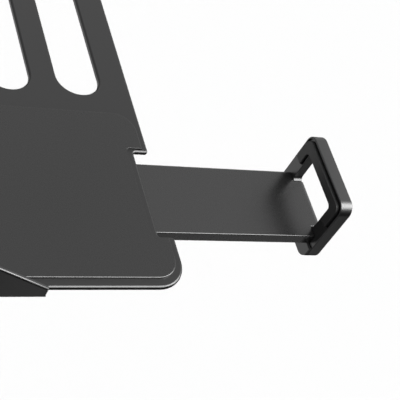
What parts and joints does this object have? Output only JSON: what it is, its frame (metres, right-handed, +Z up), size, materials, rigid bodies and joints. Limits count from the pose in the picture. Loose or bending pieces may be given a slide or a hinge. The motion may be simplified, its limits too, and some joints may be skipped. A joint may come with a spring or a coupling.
{
  "type": "laptop tray for a monitor arm",
  "caption": "Laptop tray with long vent slots, a grip mat, a front stop and sliding side arms that end in upright loops, for a monitor arm's square mounting plate.",
  "frame": {"origin": "centre of the square mounting hole patterns, on the bracket's lower face", "axes": "+X to the right, +Y to the rear, +Z up through the tray"},
  "size_m": [0.4032, 0.2523, 0.0423],
  "materials": {
    "black_steel": "satin powder coat",
    "black_rubber": "matte",
    "black_plastic": "fine grain",
    "zinc_steel": "zinc plated",
    "white_nylon": "smooth",
    "brass": "turned"
  },
  "bodies": {
    "tray": {"tray_plate": "black_steel", "grip_mat": "black_rubber", "front_stop": "black_steel", "front_stop_rivets": "zinc_steel", "arm_channel": "black_steel", "channel_rivets": "zinc_steel", "front_glide_strip": "white_nylon", "rear_glide_strip": "white_nylon", "vesa_bracket": "black_steel", "vesa_nuts": "zinc_steel", "bracket_rivets": "zinc_steel"},
    "right_slider": {"right_arm": "black_steel", "right_loop_frame": "black_plastic", "right_loop_pad": "black_rubber", "right_loop_foot": "black_plastic", "right_loop_screws": "zinc_steel", "right_lock_stud": "zinc_steel", "right_lock_washer": "zinc_steel"},
    "right_knob": {"right_lock_knob": "black_plastic", "right_knob_insert": "brass"},
    "left_slider": {"left_arm": "black_steel", "left_loop_frame": "black_plastic", "left_loop_pad": "black_rubber", "left_loop_foot": "black_plastic", "left_loop_screws": "zinc_steel", "left_lock_stud": "zinc_steel", "left_lock_washer": "zinc_steel"},
    "left_knob": {"left_lock_knob": "black_plastic", "left_knob_insert": "brass"}
  },
  "joints": [
    {"name": "right_arm_slide", "type": "slide", "parent": "tray", "child": "right_slider", "axis": [1, 0, 0], "range_m": [-0.0723, 0]},
    {"name": "left_arm_slide", "type": "slide", "parent": "tray", "child": "left_slider", "axis": [-1, 0, 0], "range_m": [-0.0723, 0]},
    {"name": "right_knob_turn", "type": "hinge", "parent": "right_slider", "child": "right_knob", "pos_m": [0.0854, -0.0838, 0], "axis": [0, 0, 1], "range_deg": [-180, 180]},
    {"name": "left_knob_turn", "type": "hinge", "parent": "left_slider", "child": "left_knob", "pos_m": [-0.0854, -0.0838, 0], "axis": [0, 0, 1], "range_deg": [-180, 180]}
  ]
}
